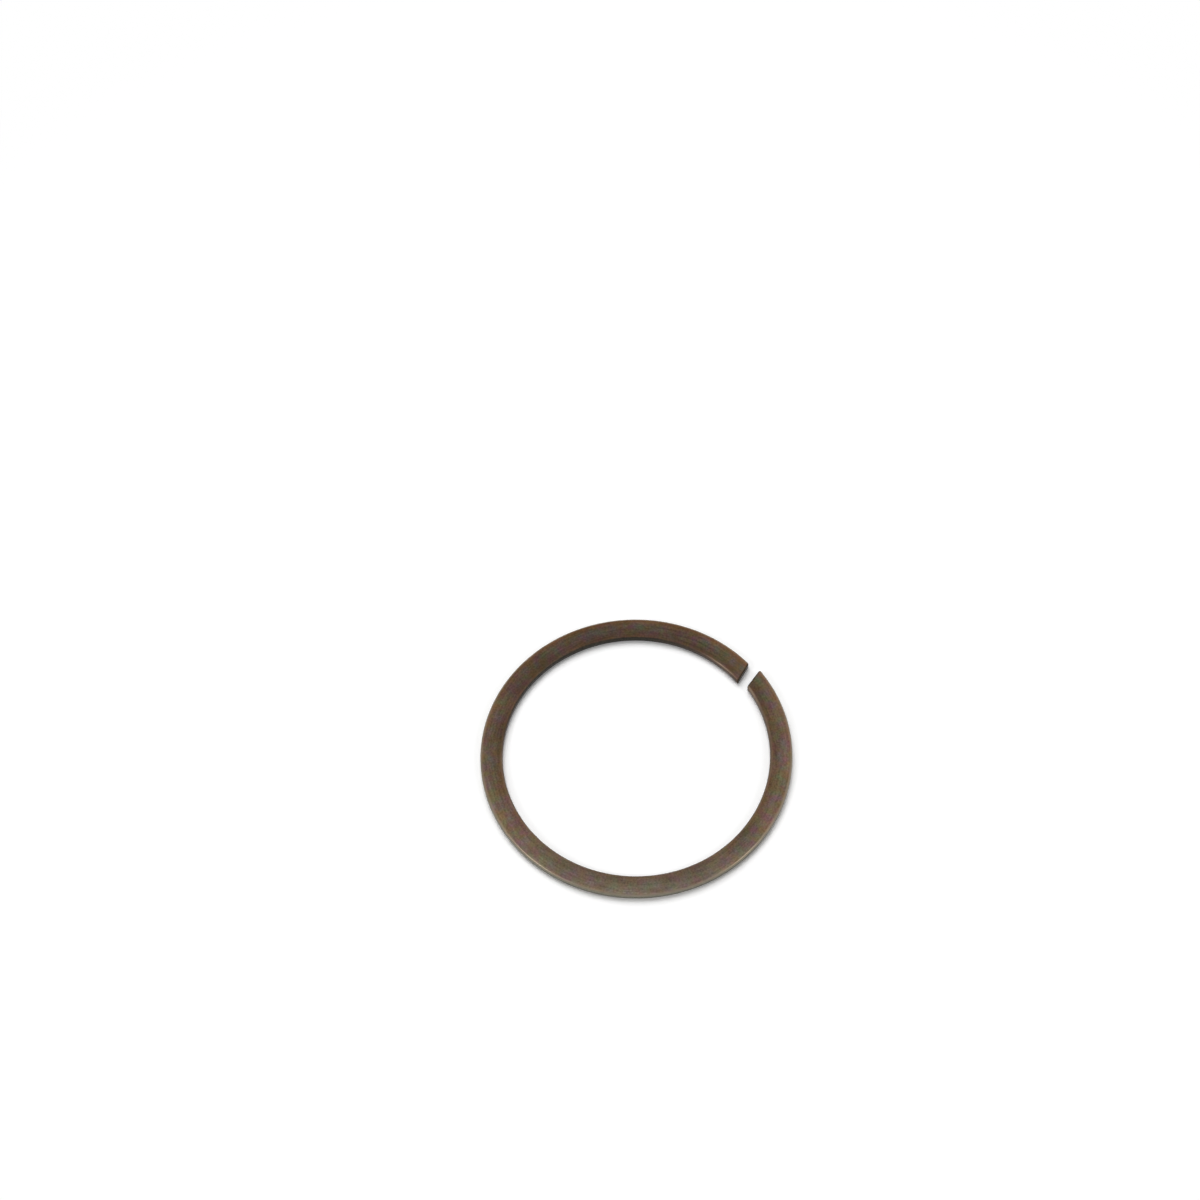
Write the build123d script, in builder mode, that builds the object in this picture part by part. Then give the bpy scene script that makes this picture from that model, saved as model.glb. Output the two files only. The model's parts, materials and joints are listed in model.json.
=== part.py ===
from build123d import *
from math import asin, cos, degrees, radians, sin
import os

# A snap ring: one turn of rolled flat spring wire, laid flat with its gap at +Y.
# The origin is the centre of the coil on the face that it rests on, and +Z is the coil's axis.
# Every size is that of the free ring, in millimetres and degrees.

# The wire and its coil
inner_diameter = 37.85      # bore of the coil, which grips the floor of a 38.1 mm groove
wire_width = 3.2            # section of the wire, across the ring
wire_thickness = 1.12       # section of the wire, along the axis
edge_radius = 0.4           # rolled rounding of the long edges, which clears the groove's corners

# The two arms are bent a little differently from the coil, so the ends stand out of line
right_arm_span = 83.0       # part of the turn, back from the gap, that is bent more open
right_arm_opening = 0.55    # what its bend radius has over the coil's
left_arm_span = 37.0        # part of the turn, back from the gap, that is bent tighter
left_arm_tightening = 0.45  # what its bend radius lacks of the coil's

# The sheared ends, each with a sharp corner and a blunt one that the shear drew over
free_gap = 1.57             # along X, between the middles of the two ends
cut_slant = 20.5            # of both cuts, from square across the wire
rollover_radius = 0.5       # curve of the cut at the blunt corner
rollover_length = 0.27      # part of the cut that this curve takes up
rollover_turn = 65.0        # turn of the curve, more than it needs to leave the wire

# Worked out from the sizes above. A reach is that of an end's middle from its arm's own centre
# along X, and an overrun is the arc by which an arm is made too long, for the shear to take off.
coil_radius = inner_diameter / 2 + wire_width / 2     # at the middle of the wire
coil_span = 360 - left_arm_span - right_arm_span
gap_angle = 90.0
right_radius = coil_radius + right_arm_opening
right_reach = free_gap / 2 + right_arm_opening * sin(radians(right_arm_span))
right_turn = right_arm_span - degrees(asin(right_reach / right_radius))
left_radius = coil_radius - left_arm_tightening
left_reach = free_gap / 2 - left_arm_tightening * sin(radians(left_arm_span))
left_turn = left_arm_span - degrees(asin(left_reach / left_radius))
overrun = degrees(wire_width / coil_radius)
waste = 2 * wire_width                                # enough to take in all of the overrun
blunt_corner = wire_width / 2 / cos(radians(cut_slant))
edge_fillet = min(edge_radius, 0.45 * wire_thickness)

with BuildLine() as wire_middle:
    coil = CenterArc((0, 0), coil_radius, gap_angle + left_arm_span, coil_span)
    right_arm = JernArc(coil @ 1, coil % 1, right_radius, right_turn + overrun)
    left_arm = JernArc(coil @ 0, -(coil % 0), left_radius, -left_turn - overrun)

# The ring is made of two lengths of wire, which meet where the left arm starts. Each is
# rounded along its edges and then sheared at the end of its arm.
lengths = (
    ([coil, right_arm], right_arm, right_turn / (right_turn + overrun)),
    ([left_arm], left_arm, left_turn / (left_turn + overrun)),
)
with BuildPart() as snap_ring:
    for middle, arm, end in lengths:
        with BuildPart() as wire:
            with BuildSketch():
                trace(middle, line_width=wire_width)
            extrude(amount=wire_thickness)
            fillet(wire.edges().filter_by(GeomType.CIRCLE), edge_fillet)

            # Seen from the middle of the end, the wire lies at +X and the blunt corner at -Y,
            # where the cut curves back into the wire
            with BuildSketch(Plane(arm @ end, x_dir=-(arm % end)).rotated((0, 0, cut_slant))):
                with BuildLine():
                    cut = Line((0, waste), (0, rollover_length - blunt_corner))
                    rollover = JernArc(cut @ 1, cut % 1, rollover_radius, rollover_turn)
                    below = rollover @ 1 - (0, waste)
                    Polyline(rollover @ 1, below, (-waste, below.Y), (-waste, waste), cut @ 0)
                make_face()
            extrude(amount=wire_thickness, mode=Mode.SUBTRACT)

snap_ring.part.label = "snap_ring"
os.makedirs("parts", exist_ok=True)
export_step(snap_ring.part, "parts/snap_ring.step")
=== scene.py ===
"""A snap ring of oxidised flat spring wire, lying on a white table under soft light."""

import json
from math import cos, pi, radians, sin, tan

import bmesh
import bpy
import numpy as np
from mathutils import Matrix, Vector


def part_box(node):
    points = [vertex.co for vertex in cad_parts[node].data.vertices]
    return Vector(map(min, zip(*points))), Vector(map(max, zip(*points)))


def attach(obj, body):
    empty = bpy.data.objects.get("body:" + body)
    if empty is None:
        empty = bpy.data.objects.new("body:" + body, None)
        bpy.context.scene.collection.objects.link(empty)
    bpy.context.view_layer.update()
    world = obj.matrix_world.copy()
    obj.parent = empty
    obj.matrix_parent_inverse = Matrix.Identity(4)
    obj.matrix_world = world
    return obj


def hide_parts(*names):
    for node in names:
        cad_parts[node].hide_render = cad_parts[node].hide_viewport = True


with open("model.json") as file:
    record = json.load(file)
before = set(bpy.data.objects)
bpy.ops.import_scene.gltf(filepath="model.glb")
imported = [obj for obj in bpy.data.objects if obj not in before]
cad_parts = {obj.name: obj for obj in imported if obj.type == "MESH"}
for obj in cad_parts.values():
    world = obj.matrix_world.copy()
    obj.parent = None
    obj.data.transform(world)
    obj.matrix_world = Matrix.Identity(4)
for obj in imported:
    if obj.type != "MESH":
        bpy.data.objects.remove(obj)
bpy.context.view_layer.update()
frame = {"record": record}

MM = 0.001

# The ring's sizes, in millimetres, as far as the frame gives them
mounts = {mount["name"]: mount for mount in frame["record"]["mounts"]}
low, high = (np.array(corner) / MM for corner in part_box("snap_ring"))
bore_radius = mounts["groove_seat"]["dims"]["r_mm"]
wire_width = -low[1] - bore_radius
wire_thickness = high[2] - low[2]
coil_radius = bore_radius + wire_width / 2

# The free form of its two arms and the slanted cuts, in millimetres and radians
EDGE_RADIUS = 0.4
FREE_GAP = 1.57             # between the middles of the two ends
LEFT_ARM_START = radians(90 + 37)
RIGHT_ARM_START = radians(360 + 90 - 83)
LEFT_TIGHTENING = 0.45
RIGHT_OPENING = 0.55
CUT_SLANT = radians(20.5)   # from square across the wire
ROLLOVER = 0.5              # rounding of the corner that the shear drew over
RIM_RADIUS = 0.35           # rounding of the sheared rims where the shear entered, at the top
LOW_RIM = 0.15              # share of it that is left at the bottom, where the wire broke off
CUT_BLEND = 0.2             # share of it over which a rim takes on the colour of the cut

# Directions in the ring's plane: to the side toward which the steel is painted darker, as painted
# shade, to the side toward which it is painted lighter, as painted light, and to the side that lay
# lowest in the bath
SHADED_SIDE = (-0.975, 0.223, 0)
LIT_SIDE = (-0.208, -0.978, 0)
LOW_SIDE = (0.786, -0.618, 0)

# Fineness of the mesh
STATIONS = 640              # along the wire
CORNER_STEPS = 8            # round each long edge
FACE_STEPS = 14             # across each face, between its edges
WALL_STEPS = 4              # up each side, between its edges
RIM_STEPS = 7               # over the rim of a sheared end
CAP_STEPS = 10              # from there to the middle of the end face
SAME_POINT = 1e-7           # metres, within which points are merged

# The table, in metres
TABLE_HALF = 3.0            # half of its side
TABLE_DEPTH = 0.005 * MM    # how far it lies below the ring, so that the two don't coincide
TABLE_FADE = (0.05, 0.15)   # distances between which it goes over into the room's white
TABLE_LIFT = 1.1            # by how much it is drawn lighter than a plain white

# The photograph's camera, in millimetres and radians, as it stands to the ring's centre before
# both are turned into the ring's own frame
IMAGE = 1200                # pixels a side
FOCAL = 4000                # pixels
SENSOR = 36.0               # width of the film
PITCH = radians(60.715)     # below the horizon
ROLL = radians(0.552)
DISTANCE = 582.2            # along the optical axis to the table
AIM = (-4.885, 25.889)      # where that axis meets the table
RING_TURN = radians(52.14)  # from the photograph's right to the ring's own +X


def section(inset):
    """Across and height of the wire's outline, drawn in from its surface by an inset.

    Each corner is a quarter circle about its own centre, and a straight row of points joins it
    to the next. The corner's radius shrinks with the inset, to nothing at half the thickness.
    The third value is the across part of the outline's outward direction: 1 on the outer side
    wall, -1 on the bore's and 0 on both faces.
    """
    inset = inset[:, None]
    radius = EDGE_RADIUS * (1 - inset / (wire_thickness / 2))
    half_width = wire_width / 2 - inset - radius
    half_height = wire_thickness / 2 - inset - radius
    turn = np.linspace(0, pi / 2, CORNER_STEPS + 1)
    corners = []
    for quarter, (side, rise) in enumerate(((1, 1), (-1, 1), (-1, -1), (1, -1))):
        direction = turn + quarter * pi / 2
        corners.append((side * half_width + radius * np.cos(direction),
                        rise * half_height + radius * np.sin(direction),
                        np.cos(direction) + 0 * inset))
    outline = ([], [], [])
    for quarter, steps in enumerate((FACE_STEPS, WALL_STEPS, FACE_STEPS, WALL_STEPS)):
        share = np.linspace(0, 1, steps + 1)[1:-1]
        for out, here, following in zip(outline, corners[quarter], corners[(quarter + 1) % 4]):
            out += [here, here[:, -1:] * (1 - share) + following[:, :1] * share]
    across, height, sideways = (np.hstack(rows) for rows in outline)
    return across, height + wire_thickness / 2, sideways


def stretch(angle):
    """Centre and bend radius of the wire's middle where its outward normal has this angle.

    The coil is a circle about the origin. Each arm is a circle of another radius that touches
    the coil where the arm starts, so its centre lies on the line from the origin to there.
    """
    right, left = angle > RIGHT_ARM_START, angle < LEFT_ARM_START
    change = np.where(right, RIGHT_OPENING, np.where(left, -LEFT_TIGHTENING, 0.0))
    start = np.where(right, RIGHT_ARM_START, LEFT_ARM_START)
    return -change * np.cos(start), -change * np.sin(start), coil_radius + change


def cut_angle(across, side):
    """Angle at which a line of the wire meets the cut, as the outer root of circle and line.

    The cut goes through the middle of the end, which is on the middle line of its arm, and leans
    from the arm's own radial there, always to the left on its way out. The side is -1 at the
    left end, where the angle is near a quarter turn, and 1 at the right one, a turn further on.
    """
    centre_x, centre_y, radius = stretch(np.full_like(across, pi / 2 if side < 0 else 5 * pi / 2))
    x = side * FREE_GAP / 2 - centre_x
    y = np.sqrt(radius ** 2 - x ** 2)
    lean = CUT_SLANT - np.arcsin(x / radius)
    along_x, along_y = -np.sin(lean), np.cos(lean)
    middle = -(x * along_x + y * along_y)
    reach = middle + np.sqrt(middle ** 2 - radius ** 2 + (radius + across) ** 2)
    return np.arctan2(y + reach * along_y, x + reach * along_x) + (2 * pi if side > 0 else 0)


def setback(across, height, inset, side):
    """How far an end's surface lies behind the plane of its cut.

    The rim is a quarter circle at the top and a flatter curve further down. The corner that the
    shear drew over is a larger circle in plan, tangent to the wire's side and to the cut. The
    two are added as cubes, so that the one passes smoothly into the other.
    """
    drop = np.clip(RIM_RADIUS - inset, 0, None)[:, None]
    rim = RIM_RADIUS - np.sqrt(RIM_RADIUS ** 2 - drop ** 2)
    rim = rim * (LOW_RIM + (1 - LOW_RIM) * (height / wire_thickness) ** 2)
    depth = wire_width / 2 + side * across        # from the side wall at the drawn-over corner
    centre = ROLLOVER * (1 / cos(CUT_SLANT) - tan(CUT_SLANT))
    tangent = ROLLOVER * (1 - sin(CUT_SLANT))
    inside = np.clip(depth, 0, tangent)
    drawn = inside * tan(CUT_SLANT) + centre - np.sqrt(ROLLOVER ** 2 - (ROLLOVER - inside) ** 2)
    return (rim ** 3 + np.clip(drawn, 0, None) ** 3) ** (1 / 3)


def new_object(name, data):
    """A new object with this data, in the scene."""
    obj = bpy.data.objects.new(name, data)
    bpy.context.scene.collection.objects.link(obj)
    return obj


def make_ring():
    """The whole ring as one grid, with each of its rings an outline of the wire's section.

    They run from the middle of one end face over its rim, along the wire and back over the other
    rim. A point's angle runs evenly from the one cut's to the other's, each less its setback,
    and the point lies in that direction from its arm's centre, at the bend radius plus across.
    """
    rim = RIM_RADIUS * (1 - np.cos(np.linspace(0, pi / 2, RIM_STEPS + 1)))
    cap = np.linspace(RIM_RADIUS, wire_thickness / 2, CAP_STEPS + 1)[1:]
    insets = np.concatenate((rim[1:], cap))
    inset = np.concatenate((insets[::-1], np.zeros(STATIONS + 1), insets))
    share = np.concatenate((0 * insets, np.linspace(0, 1, STATIONS + 1), 0 * insets + 1))[:, None]
    across, height, sideways = section(inset)

    left_radius = coil_radius - LEFT_TIGHTENING + across
    right_radius = coil_radius + RIGHT_OPENING + across
    left = cut_angle(across, -1) + setback(across, height, inset, -1) / left_radius
    right = cut_angle(across, 1) - setback(across, height, inset, 1) / right_radius
    angle = left * (1 - share) + right * share
    centre_x, centre_y, radius = stretch(angle)
    points = np.stack((centre_x + (radius + across) * np.cos(angle),
                       centre_y + (radius + across) * np.sin(angle), height), axis=-1)

    rings, loop = across.shape
    index = np.arange(rings * loop).reshape(rings, loop)
    following = np.roll(index, -1, axis=1)
    faces = np.stack((index[:-1], following[:-1], following[1:], index[1:]), axis=-1)
    mesh = bpy.data.meshes.new("snap_ring_steel")
    mesh.from_pydata((points * MM).reshape(-1, 3).tolist(), [], faces.reshape(-1, 4).tolist())

    past_rim = np.broadcast_to(inset[:, None] / RIM_RADIUS, across.shape)
    on_wire = past_rim < 1
    values = {
        # The length along the coil's middle from the ring's own +X, the across and the height
        "wire": np.stack((angle * coil_radius, across, height), axis=-1),
        # As section gives it, and 0 on the end faces
        "sideways": sideways * on_wire,
        # 1 midway round each long edge, and 0 where the face and the side wall start
        "edge": 2 * abs(sideways) * np.sqrt(np.clip(1 - sideways ** 2, 0, 1)) * on_wire,
        # 1 where the surface was sheared, and 0 on the wire's own
        "cut": np.clip(past_rim / CUT_BLEND, 0, 1),
    }
    for name, value in values.items():
        kind, field = ("FLOAT_VECTOR", "vector") if value.ndim == 3 else ("FLOAT", "value")
        attribute = mesh.attributes.new(name, kind, "POINT")
        attribute.data.foreach_set(field, value.astype(np.float32).ravel())

    shape = bmesh.new()
    shape.from_mesh(mesh)
    bmesh.ops.remove_doubles(shape, verts=shape.verts, dist=SAME_POINT)
    bmesh.ops.recalc_face_normals(shape, faces=shape.faces)
    shape.to_mesh(mesh)
    shape.free()
    mesh.shade_smooth()
    return new_object("snap_ring_steel", mesh)


def linear(hex_colour):
    """An sRGB hex colour as the linear values that a shader takes."""
    values = [int(hex_colour[i:i + 2], 16) / 255 for i in (1, 3, 5)]
    return [v / 12.92 if v <= 0.04045 else ((v + 0.055) / 1.055) ** 2.4 for v in values] + [1.0]


def add(tree, kind, inputs=(), output=0, **settings):
    """Adds a node of this kind, with its settings, and its inputs set or linked.

    The inputs are given in their order, or by number or name, and one output is handed back.
    """
    node = tree.nodes.new("ShaderNode" + kind)
    for name, value in settings.items():
        setattr(node, name, value)
    sockets = inputs if isinstance(inputs, dict) else dict(enumerate(inputs))
    for socket, value in sockets.items():
        if isinstance(value, bpy.types.NodeSocket):
            tree.links.new(value, node.inputs[socket])
        else:
            node.inputs[socket].default_value = value
    return node.outputs[output] if node.outputs else None


def new_material(name):
    """An empty material and its node tree."""
    material = bpy.data.materials.new(name)
    material.use_nodes = True
    material.node_tree.nodes.clear()
    return material, material.node_tree


def oxidised_spring_steel():
    """Rolled spring steel, hardened and oil-blackened to a thin brown oxide.

    The film is satin and never even. It is mottled from olive over red-brown to a purplish grey
    and streaked along the wire by rolling. Painted shade darkens it toward one side of the ring,
    and painted light lightens it toward another and, as a painted sheen, toward the outer edge.
    The long edges are warmer, and paler partly from tumbling wear and partly as a painted
    highlight. The outer side wall is a lighter neutral grey, a painted reflection of the lit
    table. The bore is dark, made nearly black as painted shade on the shaded side, and the sheared
    ends are nearly black.
    """
    material, tree = new_material("oxidised_spring_steel")
    place = add(tree, "TexCoord", output="Object")
    in_mm = add(tree, "VectorMath", {0: place, "Scale": 1 / MM}, operation="SCALE")
    wire = add(tree, "Attribute", output="Vector", attribute_name="wire")
    length, across = (add(tree, "SeparateXYZ", [wire], axis) for axis in "XY")
    sideways, edge, cut = (add(tree, "Attribute", output="Fac", attribute_name=name)
                           for name in ("sideways", "edge", "cut"))

    # How far a point lies from the ring's centre to each of these sides, over the coil's radius
    to_shaded, to_lit, to_low = (
        add(tree, "VectorMath", (in_mm, [part / coil_radius for part in side]), "Value",
            operation="DOT_PRODUCT")
        for side in (SHADED_SIDE, LIT_SIDE, LOW_SIDE))

    # Each pattern's coordinates, the size of its features in millimetres, its detail, and the
    # two levels of its noise that become 0 and 1. The streaks are ten times as long as wide. On
    # the real wire they and the grain are finer than 0.1 mm, and are drawn coarser to show.
    lengthways = add(tree, "Mapping", {"Vector": wire, "Scale": (0.1, 1, 1)})
    patterns = []
    for vector, size_mm, detail, bottom, top in (
        (in_mm, 5.0, 2, 0.36, 0.64),           # clouds
        (in_mm, 1.2, 2, 0.30, 0.62),           # red-brown in the olive
        (in_mm, 1.35, 2, 0.40, 0.70),          # mauve in the ochre
        (lengthways, 0.27, 3, 0.32, 0.68),     # streaks
        (in_mm, 0.28, 2, 0.32, 0.68),          # grain
    ):
        seed = len(patterns) + 1
        sockets = {"Vector": vector, "W": seed, "Scale": 1 / size_mm, "Detail": detail}
        noise = add(tree, "TexNoise", sockets, noise_dimensions="4D")
        patterns.append(add(tree, "MapRange", (noise, bottom, top)))
    clouds, ruddy, purple, streaks, grain = patterns

    def product(*rows):
        """The product of several values, each stretched from one range to another first.

        A row is a value, the two ends of its range, and what these become unless it is 0 and 1.
        """
        result = 1.0
        for row in rows:
            stretched = add(tree, "MapRange", row)
            result = add(tree, "Math", (result, stretched), operation="MULTIPLY")
        return result

    # Tones that go from one colour to another with a pattern
    tones = []
    for amount, first, second in (
        (ruddy, "#6a755e", "#845a4c"),             # olive and red-brown
        (purple, "#757049", "#7d5d71"),            # ochre and mauve
        (add(tree, "MapRange", (grain, 0, 1, 0, 0.5)), "#7c7a6d", "#5f5c50"),    # outer wall, a lighter neutral grey that is a painted reflection of the lit table
        (grain, "#2b2a26", "#3d3831"),             # the bore on the shaded side: a dark film, made nearly black as painted shade
        (grain, "#261f15", "#3d3120"),             # the sheared ends
    ):
        sockets = {0: amount, 6: linear(first), 7: linear(second)}
        tones.append(add(tree, "Mix", sockets, 2, data_type="RGBA"))
    olive_or_rust, ochre_or_mauve, lit_outer_wall, shaded_bore, sheared = tones

    # Away from the shaded side the bore is painted browner and lighter, as painted light, and its
    # edge is paler there too, partly wear and partly a painted highlight, most on the right arm
    # but not at the very tip of the left one. Along the wire the left end is at 33 mm and the
    # right one at 160 mm.
    bore_painted_light = add(tree, "MapRange", (to_shaded, 0.8, 0.4))
    sockets = {0: bore_painted_light, 6: shaded_bore, 7: linear("#51433a")}
    bore_wall = add(tree, "Mix", sockets, 2, data_type="RGBA")
    bore_wear_and_highlight = product(
        (to_shaded, 0.54, 0.38, 0, 0.55),
        (length, 154, 158, 1, 2.1),
        (length, 32.8, 34.2, 0.05, 1),
    )
    # The long edges are paler, partly from tumbling wear and partly as a painted highlight, less
    # on the low side
    wear_and_highlight = product(
        (edge, 0, 1),
        (streaks, 0, 1, 0.3, 0.65),
        (to_low, 0.6, 1, 1, 0.5),
        (sideways, -0.35, 0.1, bore_wear_and_highlight, 1),
    )

    # The face is warmer along both edges, and on the outer one most on the side that lay high
    warm_bore_side = add(tree, "MapRange", (across, -0.2, -1.4, 0, 0.4))
    warm_outer_side = product((across, 0.4, 1.3), (to_low, -1, 0.3, 0.85, 0.05))
    warm = add(tree, "Math", (warm_bore_side, warm_outer_side))

    # Painted shade and painted light: darker toward the shaded side, lighter toward the lit side
    # and, as a painted sheen, toward the outer edge. It is also lighter toward the left end, and
    # the patterns vary it at random.
    shade = product(
        (to_shaded, -0.3, 1, 0.87, 0.48),
        (to_lit, -1, 1, 0.88, 1.15),
        (across, -0.9, 1.3, 0.71, 1.07),
        (length, 33, 40, 1.3, 1),
        (clouds, 0, 1, 0.89, 1.11),
        (streaks, 0, 1, 0.83, 1.17),
        (grain, 0, 1, 0.78, 1.22),
    )

    # The layers of the colour from the bottom up, each with how much of it covers the others.
    # The shade comes before the side walls and the cuts, which have tones of their own.
    colour = olive_or_rust
    for blend, amount, over in (
        ("MIX", 0.5, ochre_or_mauve),
        ("MIX", warm, linear("#8a6040")),
        ("MIX", add(tree, "MapRange", (to_low, 0.5, 1, 0, 0.35)), linear("#6a655f")),
        ("MULTIPLY", 1.0, shade),
        # the outer wall's lighter grey, a painted reflection of the lit table
        ("MIX", add(tree, "MapRange", (sideways, 0.3, 0.95)), lit_outer_wall),
        # the bore's tone: painted shade on the shaded side, painted light away from it
        ("MIX", add(tree, "MapRange", (sideways, -0.35, -0.7)), bore_wall),
        # paler long edges: wear and a painted highlight
        ("MIX", wear_and_highlight, linear("#907f6d")),
        ("MIX", cut, sheared),
    ):
        sockets = {0: amount, 6: colour, 7: over}
        colour = add(tree, "Mix", sockets, 2, data_type="RGBA", blend_type=blend)

    height = add(tree, "Math", (streaks, grain))
    bump = add(tree, "Bump", {"Strength": 0.4, "Distance": 0.006 * MM, "Height": height})
    surface = add(tree, "BsdfPrincipled", {
        "Base Color": colour,
        "Metallic": 1.0,
        "Roughness": add(tree, "MapRange", (grain, 0, 1, 0.30, 0.42)),
        "Normal": bump,
    })
    add(tree, "OutputMaterial", [surface])
    return material


def seen_directly(tree):
    """1 for rays that show the background itself, in the camera, a reflection or a pane."""
    seen = 0.0
    for ray in ("Is Camera Ray", "Is Glossy Ray", "Is Transmission Ray"):
        shows = add(tree, "LightPath", output=ray)
        seen = add(tree, "Math", (seen, shows), operation="MAXIMUM")
    return seen


def white_table():
    """Matt white laminate, which keeps the ring's soft shadow.

    Where it is seen directly it is drawn a little lighter, and further out it goes over into
    the white of the room, so that it has no edge.
    """
    material, tree = new_material("white_laminate")
    place = add(tree, "TexCoord", output="Object")
    distance = add(tree, "VectorMath", [place], "Value", operation="LENGTH")
    far = add(tree, "MapRange", (distance, *TABLE_FADE), interpolation_type="SMOOTHSTEP")
    matt = add(tree, "BsdfDiffuse", [linear("#f2f2f2")])
    lifted = [TABLE_LIFT * part for part in linear("#ffffff")]
    near_ring = add(tree, "BsdfDiffuse", [lifted])
    white = add(tree, "Emission", (linear("#ffffff"), 1.0))
    shown = add(tree, "MixShader", (far, near_ring, white))
    surface = add(tree, "MixShader", (seen_directly(tree), matt, shown))
    add(tree, "OutputMaterial", [surface])

    corners = [(x * TABLE_HALF, y * TABLE_HALF, -TABLE_DEPTH)
               for x, y in ((-1, -1), (1, -1), (1, 1), (-1, 1))]
    mesh = bpy.data.meshes.new("table")
    mesh.from_pydata(corners, [], [(0, 1, 2, 3)])
    mesh.materials.append(material)
    table = new_object("table", mesh)


def white_room(ambient):
    """A world that lights evenly at the ambient level and shows as plain white."""
    world = bpy.data.worlds.new("white_room")
    world.use_nodes = True
    tree = world.node_tree
    tree.nodes.clear()
    sockets = {"Value": seen_directly(tree), "To Min": ambient, "To Max": 1.0}
    level = add(tree, "MapRange", sockets)
    background = add(tree, "Background", (linear("#ffffff"), level))
    add(tree, "OutputWorld", [background])
    bpy.context.scene.world = world


def soft_lamp(name, azimuth, elevation, half_angle, level, distance=2.0):
    """A square lamp that looks this large from the ring, in degrees, and lights a white surface
    that faces it to this level. Its direction is given as the photograph has it."""
    light = bpy.data.lights.new(name, "AREA")
    light.size = 2 * distance * tan(radians(half_angle))
    light.energy = level * pi ** 2 * distance ** 2
    lamp = new_object(name, light)
    azimuth, elevation = radians(azimuth) + RING_TURN, radians(elevation)
    toward = Vector((cos(azimuth) * cos(elevation), sin(azimuth) * cos(elevation), sin(elevation)))
    lamp.location = toward * distance
    lamp.rotation_euler = toward.to_track_quat("Z", "Y").to_euler()
    lamp.visible_camera = False
    return lamp


def photo_camera():
    """The camera at the photograph's angle, turned about the ring's axis with the ring."""
    data = bpy.data.cameras.new("photo_camera")
    data.sensor_width = SENSOR
    data.lens = SENSOR * FOCAL / IMAGE
    data.clip_start, data.clip_end = 0.01, 20    # metres
    forward = Vector((0, cos(PITCH), -sin(PITCH)))
    across, up = Vector((1, 0, 0)), Vector((0, sin(PITCH), cos(PITCH)))
    right = across * cos(ROLL) - up * sin(ROLL)
    top = across * sin(ROLL) + up * cos(ROLL)
    turned = Matrix((right, top, -forward)).transposed().to_4x4()
    moved = Matrix.Translation((Vector((*AIM, 0)) - forward * DISTANCE) * MM)
    camera = new_object("photo_camera", data)
    camera.matrix_world = Matrix.Rotation(RING_TURN, 4, "Z") @ moved @ turned
    bpy.context.scene.camera = camera


ring = make_ring()
ring.data.materials.append(oxidised_spring_steel())
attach(ring, "root")
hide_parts("snap_ring")

white_table()
white_room(ambient=0.27)
# The white room already shows the overhead box in the steel, so it isn't reflected twice
soft_lamp("overhead_box", 107, 56, 22, 0.79).visible_glossy = False
soft_lamp("left_lamp", 207, 36, 9, 0.16)
soft_lamp("right_lamp", -23, 36, 9, 0.12)
photo_camera()

scene = bpy.context.scene
scene.view_settings.view_transform = "Standard"
